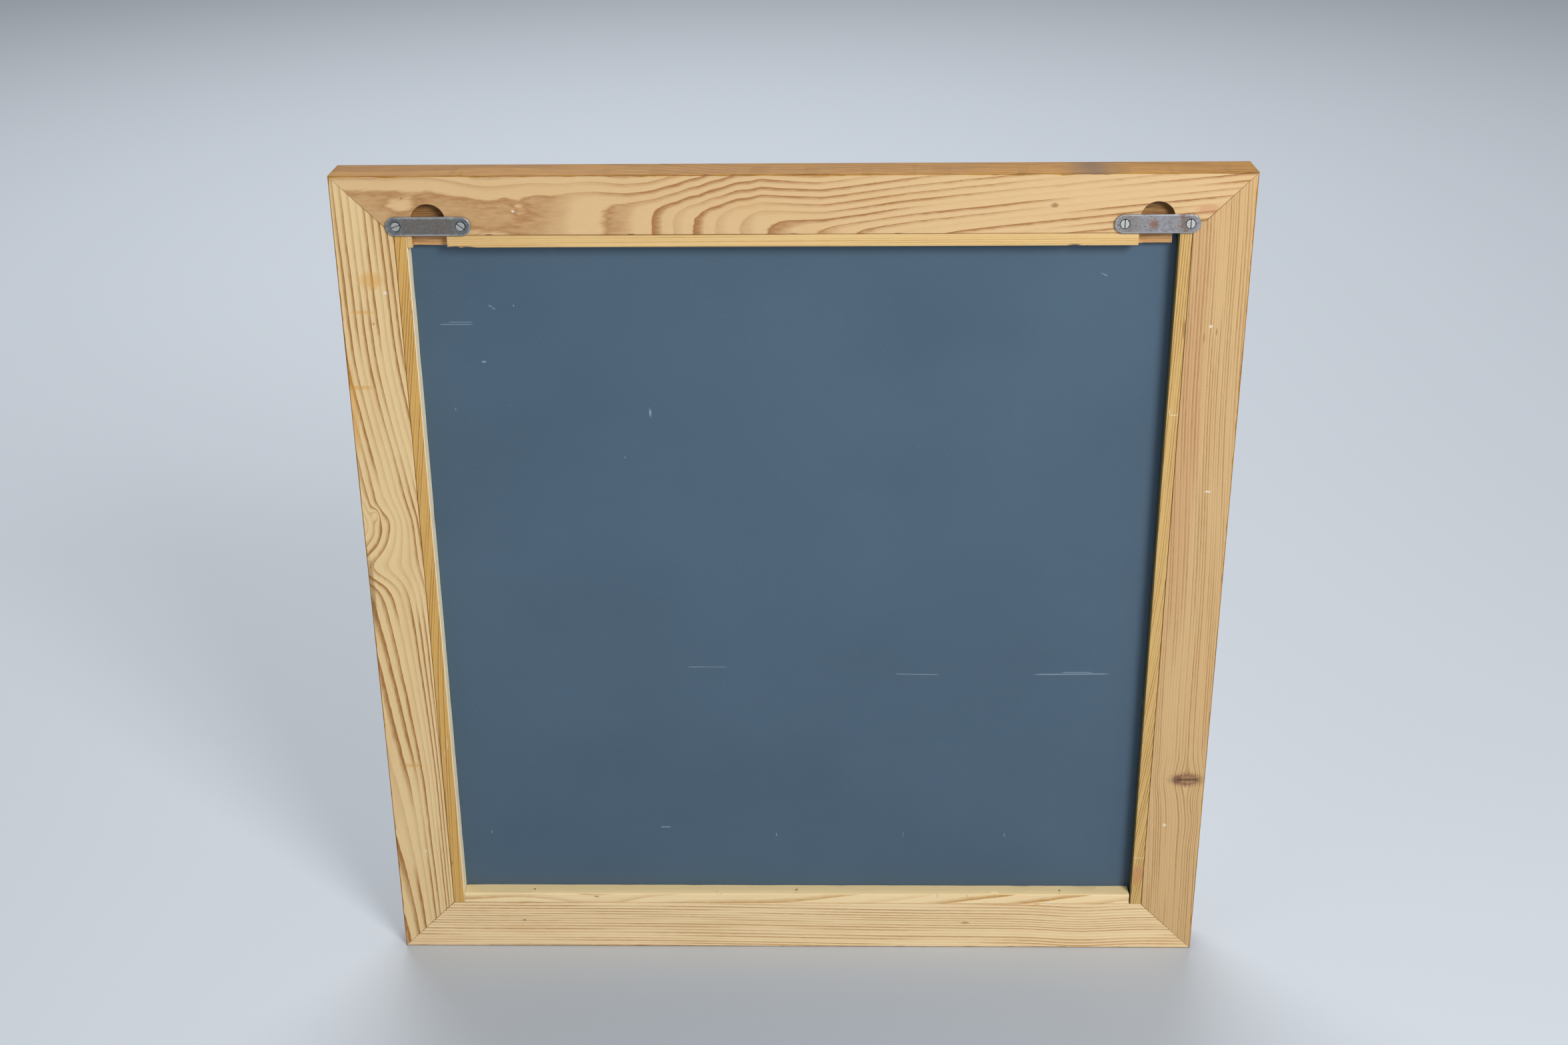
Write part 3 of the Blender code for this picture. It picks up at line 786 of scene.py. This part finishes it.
def make_wood():
    kinds = (("rail", 0.0, RAIL_RINGS, RAIL_WEAR), ("bead", BEAD_START, BEAD_RINGS, BEAD_WEAR))
    for number, side in enumerate(SIDES):
        for kind, inset, rings, wear in kinds:
            name = f"{side}_{kind}"
            seed = 3.7 * number + 1.3 + inset
            piece = make_worn(name, side, wear, seed)
            piece.data.materials.append(wood_material(name, side, inset, rings[side], seed))
            shade(piece, SHARP_WOOD)
    set_material("_dowel_", dowel_material())


def set_material(part_of_name, material):
    """Puts a material on every CAD node whose name holds these letters."""
    for name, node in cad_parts.items():
        if part_of_name in name:
            node.data.materials.clear()
            node.data.materials.append(material)


def dowel_material():
    """Turned beech."""
    material, tree, shader = new_material("dowel_beech")
    x, y, z = place_in_mm(tree)
    fleck = cloud(tree, join(tree, x / 0.8, y / 0.8, z / 0.8), 3.0)
    streak = cloud(tree, join(tree, (x + z) / 0.5, y / 0.5, (x - z) / 9.0))
    colour = mix(streak, (206, 168, 128), (168, 124, 86))
    colour = mix(step(fleck * 6.0 - 4.0) * 0.5, colour, (128, 84, 54))
    feed(tree, shader.inputs["Base Color"], colour)
    feed(tree, shader.inputs["Roughness"], streak * 0.2 + 0.5)
    add_bump(shader, streak * 0.05)
    return material


# ---------------------------------------------------------------- mirror pane


PAINT_DEPTH = 0.25 * MM
PAINT_INSET = 0.8 * MM  # from the glass's edge
PAINT_ARRIS = 0.08 * MM
GLASS_ARRIS = 0.6 * MM


def make_pane():
    """The glass, and the protective paint on its back."""
    low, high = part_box("mirror_pane")
    glass = slab("mirror_glass", low, (high[0], high[1] - PAINT_DEPTH, high[2]), GLASS_ARRIS)
    glass.data.materials.append(mirror_material())
    glass.data.materials.append(glass_edge_material())
    for face in glass.data.polygons:
        face.material_index = int(abs(face.normal.y) < 0.99)
    paint = slab(
        "mirror_back_paint",
        (low[0] + PAINT_INSET, high[1] - PAINT_DEPTH, low[2] + PAINT_INSET),
        (high[0] - PAINT_INSET, high[1], high[2] - PAINT_INSET), PAINT_ARRIS)
    paint.data.materials.append(paint_material())
    for piece in (glass, paint):
        shade(piece, SHARP_WOOD)
        stand_in(piece, "mirror_pane")


def slab(name, low, high, arris):
    """A flat box with its edges taken off."""
    bm = bmesh.new()
    middle = [(a + b) / 2 for a, b in zip(low, high)]
    size = [b - a for a, b in zip(low, high)]
    matrix = Matrix.Translation(middle) @ Matrix.Diagonal((*size, 1))
    bmesh.ops.create_cube(bm, size=1.0, matrix=matrix)
    bmesh.ops.bevel(bm, geom=bm.edges[:], offset=arris, segments=2, profile=0.5, affect="EDGES")
    return mesh_object(name, bm)


SILVER_WHOLE = 247.0  # mm from the middle, past which the silver has spots


def mirror_material():
    """Silver seen through clear glass, with faint dust and finger marks."""
    material, tree, shader = new_material("mirror_silver")
    x, y, z = place_in_mm(tree)
    smudge = cloud(tree, join(tree, x / 60.0, y, z / 45.0), 4.0, 0.6)
    dust = cloud(tree, join(tree, x / 0.7, y, z / 0.7), 1.0)
    haze = step(smudge * 3.0 - 1.6) * 0.035 + step(dust * 8.0 - 6.1) * 0.10
    up = z - HEIGHT / MM / 2
    border = step((size_of(x) - SILVER_WHOLE) / 5.0) + step((size_of(up) - SILVER_WHOLE) / 5.0)
    spots = cloud(tree, join(tree, x / 5.0, y, z / 5.0), 3.0)
    worn = least(border, 1.0) * step(spots * 5.0 - 3.0)
    feed(tree, shader.inputs["Base Color"], mix(worn * 0.6, (236, 242, 239), (150, 150, 140)))
    feed(tree, shader.inputs["Roughness"], haze + 0.012 + worn * 0.2)
    shader.inputs["Metallic"].default_value = 1.0
    shader.inputs["Coat Weight"].default_value = 1.0
    shader.inputs["Coat Roughness"].default_value = 0.01
    shader.inputs["Coat IOR"].default_value = 1.5
    return material


def glass_edge_material():
    """Ground glass edge, grey-green."""
    material, tree, shader = new_material("glass_edge")
    x, y, z = place_in_mm(tree)
    grind = cloud(tree, join(tree, x / 0.3, y / 0.3, z / 0.3), 2.0)
    feed(tree, shader.inputs["Base Color"], mix(grind, (118, 150, 140), (168, 190, 180)))
    feed(tree, shader.inputs["Roughness"], grind * 0.3 + 0.35)
    add_bump(shader, grind * 0.03)
    return material


# Scratches in the paint as seen from the back: right of the middle, height, half length, half
# width, and tilt (rise per length), in millimetres.
SCRATCHES = [
    (-63.5, 235.5, 15.5, 0.22, 0.0), (88.0, 229.6, 17.0, 0.25, -0.02),
    (200.0, 229.8, 29.0, 0.40, 0.01), (204.0, 231.2, 12.0, 0.25, 0.0),
    (-201.4, 507.6, 2.2, 0.5, -0.7), (-226.2, 495.6, 12.0, 0.22, 0.0), (-223.0, 497.2, 9.0, 0.18, 0.0),
    (-186.7, 508.5, 0.4, 0.7, 0.0), (-209.3, 469.0, 1.6, 0.6, 0.0), (-231.1, 434.8, 0.4, 0.7, 0.0),
    (-97.8, 431.9, 0.8, 2.4, 0.0), (-116.3, 399.0, 0.4, 0.6, 0.0), (-229.6, 95.0, 0.4, 1.2, 0.0),
    (-14.8, 93.1, 0.4, 1.3, 0.0), (80.6, 93.4, 0.4, 1.4, 0.0), (156.3, 93.1, 0.4, 1.2, 0.0),
    (-97.9, 99.5, 4.0, 0.5, 0.0), (206.3, 529.0, 2.6, 0.35, -0.5)]


def paint_material():
    """Blue-grey protective paint: roller texture, scuffs, fine scratches and stray specks."""
    material, tree, shader = new_material("mirror_back_paint")
    x, y, z = place_in_mm(tree)
    right = -x
    cloudy = cloud(tree, join(tree, x / 130.0, y, z / 100.0), 3.0)
    peel = cloud(tree, join(tree, x / 2.2, y, z / 2.2), 3.0)
    drag = cloud(tree, join(tree, x / 40.0, y, z / 1.4), 3.0)
    grit = cloud(tree, join(tree, x / 0.9, y, z / 0.9 + 30.0), 2.0)
    colour = mix(cloudy, (62, 84, 104), (74, 98, 118))
    colour = mix(grit * 0.10, colour, (120, 142, 158))

    speck = cloud(tree, join(tree, x / 0.8, y, z / 0.8), 1.0)
    thin = cloud(tree, join(tree, x / 35.0 + 9.0, y, z / 35.0), 2.0)
    specks = step(speck * 12.0 - 9.6 + thin)
    colour = mix(specks * 0.45, colour, (168, 186, 198))
    scuff = cloud(tree, join(tree, x / 22.0, y, z / 0.5), 2.0)
    scuffed = step(scuff * 9.0 - 6.4) * step(thin * 5.0 - 2.6)
    colour = mix(scuffed * 0.22, colour, (150, 170, 184))
    for middle, height, half_length, half_width, tilt in SCRATCHES:
        run = (right - middle) / half_length
        off = (z - height - (right - middle) * tilt) / half_width
        line = hump(off) * step((1.0 - size_of(run)) * 4.0) * step(drag * 5.0 - 1.4)
        colour = mix(line * 0.55, colour, (166, 188, 202))
    feed(tree, shader.inputs["Base Color"], colour)
    feed(tree, shader.inputs["Roughness"], peel * 0.10 + cloudy * 0.12 + 0.30 + scuffed * 0.2)
    shader.inputs["Specular IOR Level"].default_value = 0.4
    add_bump(shader, peel * 0.02)
    return material


# ---------------------------------------------------------------- steel


SCREW_FROM_MIDDLE = 21.25  # mm along the plate
SHADE_AROUND_SCREW = 3.75  # mm from the screw's middle: the reach of the painted shade in the countersink


def make_steel():
    """Plates, screws and pins. The left plate, right in the back view, is the rusty one."""
    for side, rusty in (("left", True), ("right", False)):
        plate = refined(f"{side}_hanger_plate", "rolled")
        plate.data.materials.append(plate_material(side, rusty))
        shade(plate, SHARP_PLATE)
    for side, bright in (("left", 0.9), ("right", 0.55)):
        for number in (1, 2):
            make_screw(side, number, bright)
    set_material("_pin_", pin_material())


def make_screw(side, number, bright):
    """A screw with softened edges."""
    screw = refined(f"{side}_hanger_screw_{number}", "turned")
    screw.data.materials.append(screw_material(f"{side}_{number}", bright, number + bright))
    bevel = screw.modifiers.new("soft_edges", "BEVEL")
    bevel.width = 0.12 * MM
    bevel.segments = 2
    bevel.limit_method = "ANGLE"
    bevel.angle_limit = math.radians(SHARP_PLATE)
    apply_modifiers(screw)
    shade(screw, SHARP_SCREW)


def plate_wear(rusty, right, up, mottle):
    """A plate's zinc colour, and how dull and how rusty it is at a place."""
    patches = step(mottle * 3.0 - 1.0)
    if rusty:
        zinc = mix(patches, (156, 154, 154), (192, 192, 198))
        dull = hump((right + 18.0) / 12.0) + hump((right - 18.0) / 6.5) * 1.2
        middle = hump((right + 1.9) / 3.0) * hump(up / 4.0) * 1.1
        ends = hump((right - 17.0) / 6.0) * 0.50 + hump((right + 22.0) / 6.0) * 0.36
        return zinc, dull, middle + ends + hump((right + 8.0) / 5.0) * 0.22
    zinc = mix(patches, (112, 116, 116), (150, 156, 160))
    dull = 1.3 - step((size_of(right) - 15.0) / 6.0) * 1.2
    return zinc, dull, hump((right - 7.5) / 5.0) * 0.34 + hump((right + 6.0) / 10.0) * 0.10


def plate_material(side, rusty):
    """Dull zinc-plated strip: rolled lengthwise, with a painted highlight along the rim and painted
    shade in the countersinks round the screws.
    """
    material, tree, shader = new_material(f"{side}_plate_zinc")
    low, high = [[value / MM for value in corner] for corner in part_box(f"{side}_hanger_plate")]
    x, y, z = place_in_mm(tree)
    right = (low[0] + high[0]) / 2 - x
    up = z - (low[2] + high[2]) / 2
    half_length = (high[0] - low[0]) / 2
    half_width = (high[2] - low[2]) / 2
    brushed = cloud(tree, join(tree, right / 9.0, y, up / 0.15), 3.0, 0.6)
    mottle = cloud(tree, join(tree, right / 3.4, y + 7.0, up / 2.6), 4.0, 0.65)
    grime = cloud(tree, join(tree, right / 1.5, y, up / 1.1), 4.0, 0.7)
    patchy = (grime + mottle - 1.0) * 2.6

    colour, dull, rust = plate_wear(rusty, right, up, mottle)
    dull = step((dull + patchy - 0.5) * 1.3) * 0.85
    dulled = mix(step(grime * 4.0 - 1.5), (74, 70, 64), (124, 116, 106))
    colour = mix(dull, colour, dulled)
    end = past(size_of(right) - (half_length - half_width), 0.1)
    from_spine = root(end * end + up * up) / half_width
    # A painted highlight along the plate's rim.
    rim = step((from_spine + mottle * 0.4 - 0.92) * 4.0)
    colour = mix(rim * 0.75, colour, (190, 194, 198))
    colour = mix(brushed * 0.4, colour, (120, 120, 122))
    rust = step((rust + patchy * 0.9 - 0.45) * 3.0)
    colour = mix(rust * 0.85, colour, mix(grime, (84, 58, 44), (150, 104, 78)))
    # Painted shade in the countersinks round the screw heads.
    to_screw = size_of(right) - SCREW_FROM_MIDDLE
    from_screw = root(to_screw * to_screw + up * up)
    countersink_shade = step((SHADE_AROUND_SCREW - from_screw) * 4.0) * step((high[1] - 0.12 - y) * 8.0)
    colour = mix(countersink_shade * 0.9, colour, (44, 40, 36))

    worn = most(rust, most(countersink_shade, dull * 0.7))
    feed(tree, shader.inputs["Base Color"], colour)
    feed(tree, shader.inputs["Metallic"], 0.9 - worn * 0.8)
    feed(tree, shader.inputs["Roughness"], brushed * 0.2 + 0.32 + worn * 0.35)
    add_bump(shader, brushed * 0.02 + worn * grime * 0.12)
    return material


def screw_material(name, bright, seed):
    """Worn zinc on a screw head, dirty where scuffed, with painted shade in its slot and round its
    recessed rim.
    """
    material, tree, shader = new_material(f"screw_{name}_zinc")
    x, y, z = place_in_mm(tree)
    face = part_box("left_hanger_screw_1")[1][1] / MM
    scuff = cloud(tree, join(tree, x / 0.9 + seed, y / 0.5, z / 0.35), 4.0, 0.65)
    # Painted shade in the screw's slot and round its recessed rim, joined with the scuffed grime.
    sunk_shade = step((face - 0.25 - y) * 3.0)
    dirt_and_shade = most(sunk_shade, step(scuff * 4.0 - 2.4 + (0.6 - bright)))
    shine = 200 + 30 * bright
    colour = mix(dirt_and_shade * 0.8, (shine, shine, shine - 4), (74, 66, 58))
    feed(tree, shader.inputs["Base Color"], colour)
    feed(tree, shader.inputs["Metallic"], 0.95 - dirt_and_shade * 0.6)
    feed(tree, shader.inputs["Roughness"], scuff * 0.25 + 0.22 + dirt_and_shade * 0.3)
    add_bump(shader, scuff * 0.05)
    return material


def pin_material():
    """Tarnished wire."""
    material, tree, shader = new_material("pin_wire")
    x, y, z = place_in_mm(tree)
    tarnish = cloud(tree, join(tree, x / 0.4, y / 0.4, z / 0.4), 3.0)
    feed(tree, shader.inputs["Base Color"], mix(tarnish, (96, 86, 76), (150, 146, 140)))
    feed(tree, shader.inputs["Roughness"], tarnish * 0.3 + 0.35)
    shader.inputs["Metallic"].default_value = 0.9
    add_bump(shader, tarnish * 0.04)
    return material


# ---------------------------------------------------------------- stage


CAMERA_PLACE = (-0.0190, 1.2617, 0.9033)
CAMERA_TURN = (66.237, 0.482, -179.028)  # degrees
CAMERA_LENS = 45.05  # mm
SENSOR_WIDTH = 36.0  # mm
FLOOR_HALF_SIZE = 12.0
WORLD_COLOUR = (0.80, 0.83, 0.88, 1.0)
WORLD_STRENGTH = 0.34


def make_camera():
    data = bpy.data.cameras.new("camera")
    data.lens = CAMERA_LENS
    data.sensor_width = SENSOR_WIDTH
    data.clip_end = 50.0
    camera = linked("camera", data)
    camera.location = CAMERA_PLACE
    camera.rotation_euler = Euler([math.radians(angle) for angle in CAMERA_TURN])
    bpy.context.scene.camera = camera


def make_floor():
    bm = bmesh.new()
    bmesh.ops.create_grid(bm, x_segments=1, y_segments=1, size=FLOOR_HALF_SIZE)
    floor = mesh_object("floor", bm)
    material, _, shader = new_material("floor_pale")
    shader.inputs["Base Color"].default_value = colour_of((196, 203, 211))
    shader.inputs["Roughness"].default_value = 0.6
    floor.data.materials.append(material)


def add_light(name, place, target, size, watts, colour=(1.0, 1.0, 1.0)):
    """A round soft light at a place, turned towards a target."""
    data = bpy.data.lights.new(name, "AREA")
    data.shape = "DISK"
    data.size = size
    data.energy = watts
    data.color = colour
    light = linked(name, data)
    light.location = place
    towards = Vector(target) - Vector(place)
    light.rotation_euler = towards.to_track_quat("-Z", "Y").to_euler()


def make_lights():
    middle = (0.0, 0.0, HEIGHT / 2)
    add_light("key", (-1.05, 1.75, 1.6), middle, 0.85, 42.0, (1.0, 0.98, 0.95))
    add_light("fill", (1.8, 1.4, 1.3), middle, 2.0, 5.0)
    add_light("overhead", (0.3, -2.6, 3.4), (0.0, -1.2, 0.0), 3.4, 112.0)
    world = bpy.data.worlds.new("studio")
    world.use_nodes = True
    background = world.node_tree.nodes["Background"]
    background.inputs["Color"].default_value = WORLD_COLOUR
    background.inputs["Strength"].default_value = WORLD_STRENGTH
    bpy.context.scene.world = world
    bpy.context.scene.view_settings.view_transform = "Standard"


make_camera()
make_floor()
make_lights()
make_wood()
make_pane()
make_steel()
